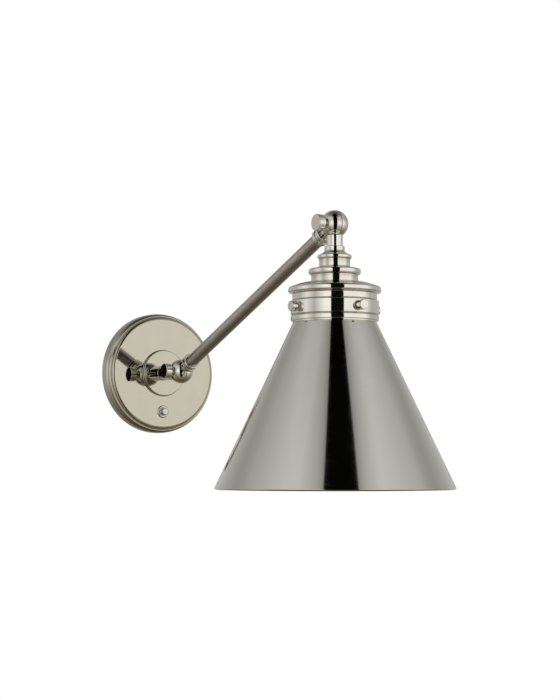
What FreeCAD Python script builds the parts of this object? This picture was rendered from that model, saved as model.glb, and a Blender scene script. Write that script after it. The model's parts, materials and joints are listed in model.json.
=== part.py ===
"""Wall-mounted reading light: round back plate, one arm with split-ball knuckles, conical metal shade.

Row frame, in millimetres: the wall is the plane Y = 0 and the origin is the centre of the back
plate's back face. The light stands out from the wall towards -Y, +Z is up and X runs along the wall.
"""
import FreeCAD
import Part

import math
import os
from types import SimpleNamespace

import Sketcher

# Driving dimensions. Lengths are in millimetres and angles in degrees. A "depth" is measured out
# from the wall, a "drop" down from the centre of the head knuckle, and a "run" along the arm from
# the centre of the knuckle at that end.
SIZES = {
    # layout
    "wall_reach": 57.3,
    "arm_length": 315.1,
    "arm_rise": 22.4,
    # back plate
    "plate_radius": 63.5,
    "plate_wall": 1.2,
    "side_depth": 7.3,
    "rim_radius": 60.9,
    "rim_depth": 13.7,
    "rim_curve": 9.0,
    "groove_radius": 59.9,
    "groove_half_width": 0.6,
    "groove_deep": 0.9,
    "face_edge": 3.2,
    "face_edge_curve": 3.2,
    "face_depth": 16.8,
    "disc_radius": 24.2,
    "disc_depth": 20.3,
    # strap behind the plate
    "strap_length": 106.0,
    "strap_width": 19.0,
    "strap_thick": 2.0,
    "slot_spacing": 88.9,
    "slot_width": 4.6,
    "slot_length": 12.0,
    "ground_offset": 20.0,
    "ground_head_radius": 4.0,
    "ground_head_tall": 2.4,
    "ground_shank_radius": 2.0,
    # threaded tube through the plate and the cap
    "nipple_radius": 4.85,
    "nipple_bore": 3.2,
    "thread_play": 0.05,
    "nut_flats": 15.0,
    "nut_tall": 3.6,
    # wall stem
    "stem_radius": 8.1,
    "stem_edge": 0.6,
    "stem_top": 39.0,
    # knuckles
    "ball_radius": 12.6,
    "ball_split": 0.9,
    "sweep_play": 0.35,
    "cavity_radius": 9.0,
    "cavity_reach": 6.0,
    "boss_radius": 4.2,
    "pivot_radius": 2.5,
    "running_play": 0.05,
    "pivot_end": 8.5,
    "washer_radius": 11.8,
    "washer_bore": 9.3,
    "neck_radius": 7.4,
    "cord_bore": 2.5,
    "cord_radius": 1.9,
    "spot_face": 12.2,
    # knobs
    "knob_radius": 7.7,
    "knob_face": 20.6,
    "knob_back": 13.9,
    "knob_edge": 0.7,
    "knob_boss_radius": 4.0,
    # arm
    "tube_radius": 6.35,
    "tube_wall": 1.0,
    "arm_neck_radius": 5.2,
    "lower_collar_run": 15.8,
    "upper_collar_run": 17.4,
    "collar_sleeve_radius": 8.4,
    "collar_sleeve_long": 9.8,
    "collar_groove": 0.8,
    "sleeve_lip": 1.0,
    "spigot_long": 14.0,
    # stepped cap
    "neck_end": 20.4,
    "ring_radius": 9.2,
    "ring_end": 24.8,
    "tier_one_radius": 15.5,
    "tier_one_shoulder": 28.2,
    "tier_one_edge": 1.25,
    "tier_one_band": 14.0,
    "tier_one_end": 38.8,
    "tier_two_radius": 23.7,
    "tier_two_shoulder": 40.9,
    "tier_two_edge": 1.8,
    "tier_curve": 14.0,
    "cap_curve": 60.0,
    "tier_two_band": 21.2,
    "tier_two_end": 52.6,
    # fitter collar
    "fitter_flange_radius": 42.0,
    "fitter_radius": 39.9,
    "fitter_ring_radius": 38.3,
    "fitter_bore": 38.0,
    "fitter_upper_bore": 36.6,
    "fitter_flange_top": 57.3,
    "fitter_floor": 59.6,
    "fitter_flange_end": 63.0,
    "fitter_shoulder": 70.5,
    "fitter_groove": 83.4,
    "fitter_end": 88.5,
    "screw_drop": 76.6,
    "screw_neck_radius": 3.4,
    "screw_neck_long": 1.4,
    "screw_head_radius": 4.65,
    "screw_head_end": 47.5,
    "screw_head_round": 0.8,
    "screw_shank_radius": 2.0,
    "screw_tip": 35.4,
    # shade
    "shade_neck_radius": 37.9,
    "shade_wall": 1.0,
    "shade_neck_end": 89.8,
    "shade_rim_radius": 109.1,
    "shade_rim_drop": 239.8,
    "shade_hem": 1.3,
    # socket and bulb
    "head_nipple_end": 68.0,
    "socket_top": 65.0,
    "socket_cap_end": 79.0,
    "socket_end": 120.0,
    "socket_radius": 17.4,
    "socket_wall": 0.8,
    "screw_shell_radius": 13.8,
    "screw_shell_bore": 13.3,
    "screw_shell_top": 92.0,
    "contact_radius": 3.6,
    "bulb_base_radius": 12.9,
    "bulb_base_top": 95.0,
    "bulb_glass_top": 119.0,
    "bulb_centre": 172.0,
    "bulb_radius": 30.0,
    "bulb_shoulder_curve": 60.0,
    "bulb_shoulder_turn": 34.0,
    "bulb_wall": 0.8,
    # canopy switch
    "switch_below": 41.0,
    "switch_seat": 15.9,
    "switch_nut_radius": 6.6,
    "switch_nut_tall": 2.2,
    "bushing_radius": 4.6,
    "bushing_front": 19.6,
    "button_radius": 3.6,
    "button_front": 22.6,
    "button_back": 14.0,
    "switch_body_radius": 8.5,
    "switch_body_back": 3.2,
    "switch_body_front": 13.6,
}

doc = FreeCAD.newDocument("reading_light")
sheet = doc.addObject("Spreadsheet::Sheet", "Dims")
for row, (alias, number) in enumerate(SIZES.items(), start=1):
    sheet.set(f"A{row}", alias.replace("_", " "))
    sheet.set(f"B{row}", str(number))
    sheet.setAlias(f"B{row}", alias)
doc.recompute()


class Length:
    """A number, together with the sheet expression that gives it."""

    def __init__(self, value, text):
        self.value = value
        self.text = text

    def __add__(self, other):
        other = length(other)
        return Length(self.value + other.value, f"({self.text} + {other.text})")

    def __sub__(self, other):
        other = length(other)
        return Length(self.value - other.value, f"({self.text} - {other.text})")

    def __mul__(self, other):
        other = length(other)
        return Length(self.value * other.value, f"({self.text} * {other.text})")

    def __truediv__(self, other):
        other = length(other)
        return Length(self.value / other.value, f"({self.text} / {other.text})")

    def __radd__(self, other):
        return length(other) + self

    def __rsub__(self, other):
        return length(other) - self

    def __rmul__(self, other):
        return length(other) * self

    def __neg__(self):
        return Length(-self.value, f"(-1 * {self.text})")


def length(item):
    """The item as a Length; a plain number becomes a constant."""
    if isinstance(item, Length):
        return item
    return Length(float(item), repr(float(item)))


dim = SimpleNamespace(**{alias: Length(number, "Dims." + alias) for alias, number in SIZES.items()})


def sine(angle):
    return Length(math.sin(math.radians(angle.value)), f"sin({angle.text})")


def cosine(angle):
    return Length(math.cos(math.radians(angle.value)), f"cos({angle.text})")


# ---------------------------------------------------------------------------------------------
# Places: each is a base point in the row frame and a turn about one row axis.

X_AXIS = FreeCAD.Vector(1, 0, 0)
Y_AXIS = FreeCAD.Vector(0, 1, 0)
ORIGIN = (0, 0, 0)
WALL_PIVOT = (0, -dim.wall_reach, 0)
HEAD_PIVOT = (
    0,
    -(dim.wall_reach + dim.arm_length * cosine(dim.arm_rise)),
    dim.arm_length * sine(dim.arm_rise),
)

WALL = (ORIGIN, X_AXIS, length(90))                       # local z is the depth out from the wall
WALL_BALL = (WALL_PIVOT, X_AXIS, length(-90))             # local z runs from the ball to the wall
ARM = (WALL_PIVOT, X_AXIS, 90 - dim.arm_rise)             # local z is the run up the arm
ARM_TOP = (HEAD_PIVOT, X_AXIS, -90 - dim.arm_rise)        # local z is the run down the arm
HEAD = (HEAD_PIVOT, X_AXIS, length(180))                  # local z is the drop
WALL_KNOB = (WALL_PIVOT, Y_AXIS, length(-90))             # local z points along -X
HEAD_KNOB = (HEAD_PIVOT, Y_AXIS, length(-90))

parts = []


def place(item, spot):
    """Give an object its Placement, bound to the sheet."""
    base, axis, angle = spot
    point = FreeCAD.Vector(*(length(value).value for value in base))
    item.Placement = FreeCAD.Placement(point, FreeCAD.Rotation(axis, angle.value))
    for letter, value in zip("xyz", base):
        item.setExpression("Placement.Base." + letter, length(value).text)
    item.setExpression("Placement.Rotation.Angle", angle.text)


def keep(item, label, spot):
    """Name a finished sub-part, put it in its place and list it for export."""
    item.Label = label
    place(item, spot)
    parts.append(item)
    return item


# ---------------------------------------------------------------------------------------------
# Sketch and feature helpers

def arc(radius, side):
    """An arc to the next outline point; side +1 bulges left of the way there and -1 right."""
    return ("arc", length(radius), side)


def origin_plane(body, role):
    """The body's own origin plane of that role."""
    return next(item for item in body.Origin.OriginFeatures if item.Role == role)


def new_sketch(body, role="XZ_Plane"):
    sketch = body.newObject("Sketcher::SketchObject", body.Name + "_sketch")
    sketch.AttachmentSupport = [(origin_plane(body, role), "")]
    sketch.MapMode = "FlatFace"
    return sketch


def pin_coordinate(sketch, kind, geometry, point, value):
    """Fix one coordinate of a sketch point to a sheet expression."""
    if value.value == 0 and value.text == "0.0":
        crossing_axis = -2 if kind == "DistanceX" else -1
        sketch.addConstraint(Sketcher.Constraint("PointOnObject", geometry, point, crossing_axis))
        return
    index = sketch.addConstraint(Sketcher.Constraint(kind, -1, 1, geometry, point, value.value))
    sketch.setExpression(f"Constraints[{index}]", value.text)


def arc_geometry(start, end, radius, side):
    """A counterclockwise arc between two points, and whether the outline runs along it."""
    chord = end - start
    middle = (start + end) * 0.5
    left = FreeCAD.Vector(-chord.y, chord.x, 0).normalize()
    inset = math.sqrt(max(radius ** 2 - (chord.Length / 2) ** 2, 0.0))
    centre = middle - left * (inset * side)
    first, last = (start, end) if side < 0 else (end, start)
    angles = [math.atan2(point.y - centre.y, point.x - centre.x) for point in (first, last)]
    circle = Part.Circle(centre, FreeCAD.Vector(0, 0, 1), radius)
    return Part.ArcOfCircle(circle, angles[0], angles[1]), side < 0


def draw_outline(sketch, outline):
    """Draw a closed outline of (x, y) points, with arcs between some of them, fully constrained."""
    points = []
    bends = []
    for item in outline:
        if item[0] == "arc":
            bends[-1] = item
        else:
            points.append((length(item[0]), length(item[1])))
            bends.append(None)
    ends = []
    for index, bend in enumerate(bends):
        start, end = (
            FreeCAD.Vector(x.value, y.value, 0)
            for x, y in (points[index], points[(index + 1) % len(points)])
        )
        if bend is None:
            sketch.addGeometry(Part.LineSegment(start, end), False)
            ends.append((1, 2))
            continue
        shape, forward = arc_geometry(start, end, bend[1].value, bend[2])
        sketch.addGeometry(shape, False)
        ends.append((1, 2) if forward else (2, 1))
    for index, bend in enumerate(bends):
        following = (index + 1) % len(points)
        joint = Sketcher.Constraint("Coincident", index, ends[index][1], following, ends[following][0])
        sketch.addConstraint(joint)
    for index, bend in enumerate(bends):
        x, y = points[index]
        pin_coordinate(sketch, "DistanceX", index, ends[index][0], x)
        pin_coordinate(sketch, "DistanceY", index, ends[index][0], y)
        if bend is not None:
            count = sketch.addConstraint(Sketcher.Constraint("Radius", index, bend[1].value))
            sketch.setExpression(f"Constraints[{count}]", bend[1].text)


def revolve(body, outline):
    """Revolve an outline of (radius, height) points about the body's own Z axis."""
    sketch = new_sketch(body)
    draw_outline(sketch, outline)
    feature = body.newObject("PartDesign::Revolution", body.Name + "_revolution")
    feature.Profile = sketch
    feature.ReferenceAxis = (sketch, ["V_Axis"])
    feature.Angle = 360
    sketch.Visibility = False
    doc.recompute()
    return feature


def turned(label, spot, outline):
    """A piece turned or spun about its axis."""
    body = doc.addObject("PartDesign::Body", label)
    revolve(body, outline)
    return keep(body, label, spot)


def circle_sketch(body, role, circles):
    """A sketch of circles, each (x, y, radius), on one of the body's origin planes."""
    sketch = new_sketch(body, role)
    for x, y, radius in circles:
        x, y, radius = length(x), length(y), length(radius)
        centre = FreeCAD.Vector(x.value, y.value, 0)
        ring = Part.Circle(centre, FreeCAD.Vector(0, 0, 1), radius.value)
        index = sketch.addGeometry(ring, False)
        pin_coordinate(sketch, "DistanceX", index, 3, x)
        pin_coordinate(sketch, "DistanceY", index, 3, y)
        count = sketch.addConstraint(Sketcher.Constraint("Radius", index, radius.value))
        sketch.setExpression(f"Constraints[{count}]", radius.text)
    return sketch


def cut_through(body, sketch):
    """Pocket a sketch right through the body, both ways, and check that it removed material."""
    before = body.Shape.Volume
    pocket = body.newObject("PartDesign::Pocket", body.Name + "_hole")
    pocket.Profile = sketch
    pocket.Type = "ThroughAll"
    pocket.SideType = "Symmetric"
    sketch.Visibility = False
    doc.recompute()
    if not body.Shape.Volume < before:
        raise RuntimeError(body.Label + ": a hole removed nothing")
    return pocket


def prism(label, spot, outline, low, high):
    """A piece with a constant section in the local XY plane, between two heights."""
    low, high = length(low), length(high)
    body = doc.addObject("PartDesign::Body", label)
    sketch = new_sketch(body, "XY_Plane")
    draw_outline(sketch, outline)
    sketch.AttachmentOffset = FreeCAD.Placement(FreeCAD.Vector(0, 0, low.value), FreeCAD.Rotation())
    sketch.setExpression("AttachmentOffset.Base.z", low.text)
    pad = body.newObject("PartDesign::Pad", label + "_pad")
    pad.Profile = sketch
    pad.Length = (high - low).value
    pad.setExpression("Length", (high - low).text)
    sketch.Visibility = False
    doc.recompute()
    return keep(body, label, spot)


def primitive(kind, base=ORIGIN, turn=None, **sizes):
    """A Part primitive whose sizes and base point are bound to the sheet."""
    item = doc.addObject("Part::" + kind, "solid")
    for name, value in sizes.items():
        value = length(value)
        setattr(item, name, value.value)
        item.setExpression(name, value.text)
    rotation = FreeCAD.Rotation(*turn) if turn else FreeCAD.Rotation()
    item.Placement = FreeCAD.Placement(FreeCAD.Vector(*(length(v).value for v in base)), rotation)
    for letter, value in zip("xyz", base):
        item.setExpression("Placement.Base." + letter, length(value).text)
    return item


def common(first, second):
    item = doc.addObject("Part::Common", "common")
    item.Base, item.Tool = first, second
    return item


def cut(first, second):
    item = doc.addObject("Part::Cut", "cut")
    item.Base, item.Tool = first, second
    return item


def fuse(*items):
    """One solid from several; a single item is returned as it is."""
    if len(items) == 1:
        return items[0]
    item = doc.addObject("Part::MultiFuse", "fuse")
    item.Shapes = list(items)
    return item


# ---------------------------------------------------------------------------------------------
# Knuckles: two half balls clamped on a flat washer by the knob's screw

def half_space(side, start):
    """A block that fills the side of x = side * start, reaching well past the ball."""
    reach = dim.ball_radius * 4
    corner = start if side > 0 else -start - reach
    return primitive("Box", (corner, -0.5 * reach, -0.5 * reach), Length=reach, Width=reach, Height=reach)


def along_x(radius, start, end):
    """A cylinder on the pivot axis from x = start to x = end."""
    start, end = length(start), length(end)
    return primitive("Cylinder", (start, 0, 0), (Y_AXIS, 90), Radius=radius, Height=end - start)


def along_z(radius, start, end):
    """A cylinder on the local Z axis from z = start to z = end."""
    return primitive("Cylinder", (0, 0, start), Radius=radius, Height=length(end) - start)


def knuckle_half(label, spot, side, neck, bores):
    """A half ball on one side of the split, with its neck, cavity, pivot hole and cord bores.

    neck and bores are lists of (radius, start, end) cylinders along the local Z axis.
    """
    half_gap = dim.ball_split / 2
    over = 0.1
    screw_room = 0.5
    ball = common(primitive("Sphere", Radius=dim.ball_radius), half_space(side, half_gap))
    shaft = fuse(*[along_z(*size) for size in neck])
    sweep = primitive("Sphere", Radius=dim.ball_radius + dim.sweep_play)
    other_side = common(sweep, half_space(-side, -half_gap))
    solid = fuse(ball, cut(shaft, other_side))
    face = dim.ball_radius if side < 0 else dim.pivot_end + screw_room
    inner = (half_gap - over, half_gap + dim.cavity_reach)
    outer = (half_gap - over, face)
    cavity_span = inner if side > 0 else (-inner[1], -inner[0])
    pivot_span = outer if side > 0 else (-outer[1], -outer[0])
    ring = cut(along_x(dim.cavity_radius, *cavity_span), along_x(dim.boss_radius, *cavity_span))
    pivot = along_x(dim.pivot_radius + dim.running_play, *pivot_span)
    hollows = [along_z(*size) for size in bores]
    solid = cut(solid, fuse(ring, pivot, *hollows))
    if side < 0:
        solid = common(solid, half_space(1, -dim.spot_face))
    return keep(solid, label, spot)


def washer(label, spot):
    """The flat ring between two half balls; it lies against the arm's half, at negative x."""
    low = dim.ball_split / -2
    thick = dim.ball_split - dim.running_play
    ring = cut(along_x(dim.washer_radius, low, low + thick), along_x(dim.washer_bore, low, low + thick))
    return keep(ring, label, spot)


def knob(label, spot):
    """Round clamp knob with a dished rim edge and a short boss against the ball."""
    edge = dim.knob_edge
    return turned(label, spot, [
        (0, dim.spot_face),
        (dim.knob_boss_radius, dim.spot_face),
        (dim.knob_boss_radius, dim.knob_back),
        (dim.knob_radius - edge, dim.knob_back),
        arc(edge, -1),
        (dim.knob_radius, dim.knob_back + edge),
        (dim.knob_radius, dim.knob_face - edge),
        arc(edge, -1),
        (dim.knob_radius - edge, dim.knob_face),
        (0, dim.knob_face),
    ])


def pivot_screw(label, spot):
    """The knob's threaded shank, from the knob through both half balls."""
    chamfer = 0.5
    tip = -dim.pivot_end
    return turned(label, spot, [
        (0, tip),
        (dim.pivot_radius - chamfer, tip),
        (dim.pivot_radius, tip + chamfer),
        (dim.pivot_radius, dim.spot_face),
        (0, dim.spot_face),
    ])


# ---------------------------------------------------------------------------------------------
# Wall base

def back_plate():
    """Spun round cover: stepped rim, fine groove, flat face, raised centre disc."""
    wall = dim.plate_wall
    hole = dim.nipple_radius + dim.thread_play
    groove = dim.groove_half_width
    face_edge = dim.groove_radius - dim.face_edge
    skirt_step = 0.9
    disc_foot = 0.6
    disc_foot_tall = 1.4
    edge = 1.0
    floor = dim.disc_depth - wall
    skirt = dim.rim_depth - dim.groove_deep - wall
    body = doc.addObject("PartDesign::Body", "back_plate")
    revolve(body, [
        (dim.plate_radius, 0),
        (dim.plate_radius, dim.side_depth),
        arc(dim.rim_curve, -1),
        (dim.rim_radius, dim.rim_depth),
        (dim.groove_radius + groove, dim.rim_depth),
        (dim.groove_radius, dim.rim_depth - dim.groove_deep),
        (dim.groove_radius - groove, dim.rim_depth),
        arc(dim.face_edge_curve, -1),
        (face_edge, dim.face_depth),
        (dim.disc_radius + disc_foot, dim.face_depth),
        arc(edge, 1),
        (dim.disc_radius, dim.face_depth + disc_foot_tall),
        (dim.disc_radius, dim.disc_depth - edge),
        arc(edge, -1),
        (dim.disc_radius - edge, dim.disc_depth),
        (hole, dim.disc_depth),
        (hole, floor),
        (dim.disc_radius - wall, floor),
        (dim.disc_radius - wall, dim.face_depth - wall + 0.3),
        (face_edge - wall, dim.face_depth - wall),
        (dim.groove_radius - wall * 2, skirt + 0.2),
        (dim.rim_radius - skirt_step, skirt),
        (dim.plate_radius - wall, dim.side_depth),
        (dim.plate_radius - wall, 0),
    ])
    switch_hole = [(0, -dim.switch_below, dim.bushing_radius + dim.thread_play)]
    cut_through(body, circle_sketch(body, "XY_Plane", switch_hole))
    seat_sketch = circle_sketch(body, "XY_Plane", [(0, -dim.switch_below, dim.switch_nut_radius + 0.1)])
    seat_sketch.AttachmentOffset = FreeCAD.Placement(
        FreeCAD.Vector(0, 0, SIZES["disc_depth"]), FreeCAD.Rotation())
    seat_sketch.setExpression("AttachmentOffset.Base.z", dim.disc_depth.text)
    before = body.Shape.Volume
    seat = body.newObject("PartDesign::Pocket", "switch_seat")
    seat.Profile = seat_sketch
    seat.Length = (dim.disc_depth - dim.switch_seat).value
    seat.setExpression("Length", (dim.disc_depth - dim.switch_seat).text)
    seat_sketch.Visibility = False
    doc.recompute()
    if not body.Shape.Volume < before:
        raise RuntimeError("the switch seat removed nothing")
    keep(body, "back_plate", WALL)


def mounting_strap():
    """Steel crossbar with rounded ends, a slot near each end and holes for nipple and ground."""
    half = dim.strap_length / 2
    wide = dim.strap_width / 2
    corner = 4.0
    strap = prism("mounting_strap", WALL, [
        (-half + corner, -wide),
        (half - corner, -wide),
        arc(corner, -1),
        (half, -wide + corner),
        (half, wide - corner),
        arc(corner, -1),
        (half - corner, wide),
        (-half + corner, wide),
        arc(corner, -1),
        (-half, wide - corner),
        (-half, -wide + corner),
        arc(corner, -1),
    ], 0, dim.strap_thick)
    holes = [
        (0, 0, dim.nipple_radius + dim.thread_play),
        (dim.ground_offset, 0, dim.ground_shank_radius + dim.thread_play),
    ]
    cut_through(strap, circle_sketch(strap, "XY_Plane", holes))
    for side in (-1, 1):
        centre = side * dim.slot_spacing / 2
        flat = (dim.slot_length - dim.slot_width) / 2
        radius = dim.slot_width / 2
        slot = new_sketch(strap, "XY_Plane")
        draw_outline(slot, [
            (centre - flat, -radius),
            (centre + flat, -radius),
            arc(radius * 1.0001, -1),
            (centre + flat, radius),
            (centre - flat, radius),
            arc(radius * 1.0001, -1),
        ])
        cut_through(strap, slot)


def ground_screw():
    """Round-headed green screw for the earth wire."""
    head = dim.strap_thick + dim.ground_head_tall
    spot = ((dim.ground_offset, 0, 0), X_AXIS, length(90))
    turned("ground_screw", spot, [
        (0, 0.2),
        (dim.ground_shank_radius, 0.2),
        (dim.ground_shank_radius, dim.strap_thick),
        (dim.ground_head_radius, dim.strap_thick),
        (dim.ground_head_radius, head - 1.2),
        arc(1.8, -1),
        (dim.ground_head_radius - 1.6, head),
        (0, head),
    ])


def nipple(label, spot, low, high):
    """A length of hollow threaded tube."""
    turned(label, spot, [
        (dim.nipple_bore, low),
        (dim.nipple_radius, low),
        (dim.nipple_radius, high),
        (dim.nipple_bore, high),
    ])


def hex_nut(label, spot, low, bore, flats, tall):
    """Hexagon nut, its hole just clear of the thread."""
    corner = flats * (1 / math.sqrt(3))
    points = [(corner * math.cos(math.radians(60 * k)), corner * math.sin(math.radians(60 * k)))
              for k in range(6)]
    nut = prism(label, spot, points, low, low + tall)
    cut_through(nut, circle_sketch(nut, "XY_Plane", [(0, 0, bore + dim.thread_play)]))


def stem():
    """Turned tube between the plate's centre disc and the neck of the wall knuckle."""
    edge = dim.stem_edge
    bore = dim.nipple_radius + dim.thread_play
    turned("stem", WALL, [
        (bore, dim.disc_depth),
        (dim.stem_radius - edge, dim.disc_depth),
        (dim.stem_radius, dim.disc_depth + edge),
        (dim.stem_radius, dim.stem_top - edge),
        (dim.stem_radius - edge, dim.stem_top),
        (bore, dim.stem_top),
    ])


def wall_half_ball():
    neck_reach = dim.wall_reach - dim.stem_top
    spigot = dim.nipple_radius + dim.thread_play
    knuckle_half("wall_half_ball", WALL_BALL, 1,
                 [(dim.neck_radius, 0, neck_reach)],
                 [(dim.cord_bore, dim.boss_radius + 0.5, dim.ball_radius),
                  (spigot, dim.ball_radius, neck_reach + 1)])


def cord(label, spot, low, high):
    """A straight run of the inner cord."""
    turned(label, spot, [(0, low), (dim.cord_radius, low), (dim.cord_radius, high), (0, high)])


def canopy_switch():
    """Push switch on the plate: body, threaded bushing, round face nut and sprung button."""
    spot = ((0, 0, -dim.switch_below), X_AXIS, length(90))
    back, front = dim.switch_body_back, dim.switch_body_front
    turned("switch_body", spot, [
        (0, back),
        (dim.switch_body_radius - 1, back),
        (dim.switch_body_radius, back + 1),
        (dim.switch_body_radius, front),
        (dim.bushing_radius - 0.8, front),
        (dim.bushing_radius - 0.8, front - 2),
        (0, front - 2),
    ])
    bore = dim.button_radius + dim.running_play
    turned("switch_bushing", spot, [
        (bore, front),
        (dim.bushing_radius, front),
        (dim.bushing_radius, dim.bushing_front - 0.4),
        (dim.bushing_radius - 0.4, dim.bushing_front),
        (bore, dim.bushing_front),
    ])
    seat = dim.switch_seat
    top = seat + dim.switch_nut_tall
    nut_bore = dim.bushing_radius + dim.thread_play
    turned("switch_nut", spot, [
        (nut_bore, seat),
        (dim.switch_nut_radius, seat),
        (dim.switch_nut_radius, top - 1.4),
        arc(1.6, -1),
        (dim.switch_nut_radius - 1.3, top),
        (nut_bore, top),
    ])
    round_over = 0.9
    turned("switch_button", spot, [
        (0, dim.button_back),
        (dim.button_radius, dim.button_back),
        (dim.button_radius, dim.button_front - round_over),
        arc(round_over, -1),
        (dim.button_radius - round_over, dim.button_front),
        (0, dim.button_front),
    ])


# ---------------------------------------------------------------------------------------------
# Arm

def arm_half_ball(label, spot, collar_run):
    """The arm's half of a knuckle: half ball, round neck and the spigot inside the tube."""
    shoulder = collar_run + dim.sleeve_lip
    spigot = dim.tube_radius - dim.tube_wall - dim.thread_play
    end = shoulder + dim.spigot_long
    knuckle_half(label, spot, -1,
                 [(dim.arm_neck_radius, 0, end), (spigot, shoulder, end)],
                 [(dim.cord_bore, dim.boss_radius + 0.5, end + 1)])


def arm_collar(label, spot, collar_run):
    """Ringed sleeve over the tube's end, with a lip in front of it and a groove round it."""
    end = collar_run + dim.collar_sleeve_long
    outer = dim.collar_sleeve_radius
    middle = collar_run + dim.collar_sleeve_long * 0.5
    groove = dim.collar_groove
    edge = 0.5
    turned(label, spot, [
        (dim.arm_neck_radius + dim.thread_play, collar_run),
        (outer - 0.9, collar_run),
        arc(0.9, -1),
        (outer, collar_run + 0.9),
        (outer, middle - groove),
        (outer - groove, middle - groove / 2),
        (outer - groove, middle + groove / 2),
        (outer, middle + groove),
        (outer, end - edge),
        (outer - edge, end),
        (dim.tube_radius + dim.thread_play, end),
        (dim.tube_radius + dim.thread_play, collar_run + dim.sleeve_lip),
        (dim.arm_neck_radius + dim.thread_play, collar_run + dim.sleeve_lip),
    ])


def arm_tube():
    low = dim.lower_collar_run + dim.sleeve_lip
    high = dim.arm_length - dim.upper_collar_run - dim.sleeve_lip
    bore = dim.tube_radius - dim.tube_wall
    turned("arm_tube", ARM, [(bore, low), (dim.tube_radius, low), (dim.tube_radius, high), (bore, high)])


# ---------------------------------------------------------------------------------------------
# Head

def head_half_ball():
    knuckle_half("head_half_ball", HEAD, 1,
                 [(dim.neck_radius, 0, dim.neck_end)],
                 [(dim.cord_bore, dim.boss_radius + 0.5, dim.ball_radius),
                  (dim.nipple_radius + dim.thread_play, dim.ball_radius, dim.neck_end + 1)])


def neck_ring():
    bore = dim.nipple_radius + dim.thread_play
    turned("neck_ring", HEAD, [
        (bore, dim.neck_end),
        (dim.ring_radius - 0.5, dim.neck_end),
        arc(0.6, -1),
        (dim.ring_radius, dim.neck_end + 0.6),
        (dim.ring_radius, dim.ring_end - 0.5),
        arc(0.6, -1),
        (dim.ring_radius - 0.5, dim.ring_end),
        (bore, dim.ring_end),
    ])


def cap_tier(label, top, top_radius, shoulder, flange, band, end, edge):
    """One tier of the stepped cap: sloping shoulder, rounded flange and the band below it."""
    bore = dim.nipple_radius + dim.thread_play
    turned(label, HEAD, [
        (bore, top),
        (top_radius, top),
        arc(dim.tier_curve, 1),
        (flange - edge, shoulder),
        arc(edge * 1.1, -1),
        (flange, shoulder + edge),
        (flange, shoulder + edge * 2),
        arc(edge * 1.1, -1),
        (flange - edge, shoulder + edge * 3),
        (band, shoulder + edge * 3 + 0.4),
        (band, end),
        (bore, end),
    ])


def fitter_collar():
    """Spun cup that holds the shade: flange, ring, main band, groove and lower lip."""
    bore = dim.nipple_radius + dim.thread_play
    flange_round = 2.2
    body = doc.addObject("PartDesign::Body", "fitter_collar")
    revolve(body, [
        (bore, dim.tier_two_end),
        (dim.tier_two_band + 0.6, dim.tier_two_end),
        arc(dim.cap_curve, -1),
        (dim.fitter_flange_radius - flange_round, dim.fitter_flange_top),
        arc(flange_round * 1.05, -1),
        (dim.fitter_flange_radius, dim.fitter_flange_top + flange_round),
        (dim.fitter_flange_radius, dim.fitter_flange_end - 1.4),
        arc(1.5, -1),
        (dim.fitter_flange_radius - 1.4, dim.fitter_flange_end),
        (dim.fitter_ring_radius - 0.7, dim.fitter_flange_end + 0.5),
        (dim.fitter_ring_radius, dim.fitter_flange_end + 1.3),
        (dim.fitter_ring_radius, dim.fitter_shoulder - 1.3),
        (dim.fitter_ring_radius - 0.6, dim.fitter_shoulder - 0.7),
        (dim.fitter_radius - 0.5, dim.fitter_shoulder - 0.2),
        (dim.fitter_radius, dim.fitter_shoulder + 0.4),
        (dim.fitter_radius, dim.fitter_groove - 0.8),
        (dim.fitter_radius - 0.8, dim.fitter_groove - 0.3),
        (dim.fitter_radius - 0.8, dim.fitter_groove + 0.3),
        (dim.fitter_radius, dim.fitter_groove + 0.8),
        (dim.fitter_radius, dim.fitter_end - 0.5),
        (dim.fitter_radius - 0.5, dim.fitter_end),
        (dim.fitter_bore, dim.fitter_end),
        (dim.fitter_bore, dim.fitter_shoulder),
        (dim.fitter_upper_bore, dim.fitter_shoulder),
        (dim.fitter_upper_bore, dim.fitter_floor),
        (bore, dim.fitter_floor),
    ])
    for role in ("XZ_Plane", "YZ_Plane"):
        hole = [(0, dim.screw_drop, dim.screw_shank_radius + dim.thread_play)]
        cut_through(body, circle_sketch(body, role, hole))
    keep(body, "fitter_collar", HEAD)


def shade():
    """Spun cone with a straight neck, a rolled hem and four screw holes in the neck."""
    wall = dim.shade_wall
    hem = dim.shade_hem
    slope = (dim.shade_rim_radius - dim.shade_neck_radius) / (dim.shade_rim_drop - dim.shade_neck_end)
    body = doc.addObject("PartDesign::Body", "shade")
    hem_top = dim.shade_rim_drop - hem * 2
    cone_radius = dim.shade_rim_radius - slope * hem
    hem_radius = dim.shade_rim_radius - slope * (hem * 2) - 1.1
    revolve(body, [
        (dim.shade_neck_radius - wall, dim.fitter_shoulder + 0.2),
        (dim.shade_neck_radius, dim.fitter_shoulder + 0.2),
        (dim.shade_neck_radius, dim.shade_neck_end),
        (cone_radius, dim.shade_rim_drop - hem),
        arc(hem, -1),
        (cone_radius - hem, dim.shade_rim_drop),
        arc(hem, -1),
        (cone_radius - hem * 2, dim.shade_rim_drop - hem),
        (hem_radius, hem_top),
        (dim.shade_neck_radius - wall, dim.shade_neck_end + 0.2),
    ])
    for role in ("XZ_Plane", "YZ_Plane"):
        hole = [(0, dim.screw_drop, dim.screw_shank_radius + dim.thread_play)]
        cut_through(body, circle_sketch(body, role, hole))
    keep(body, "shade", HEAD)


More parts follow.
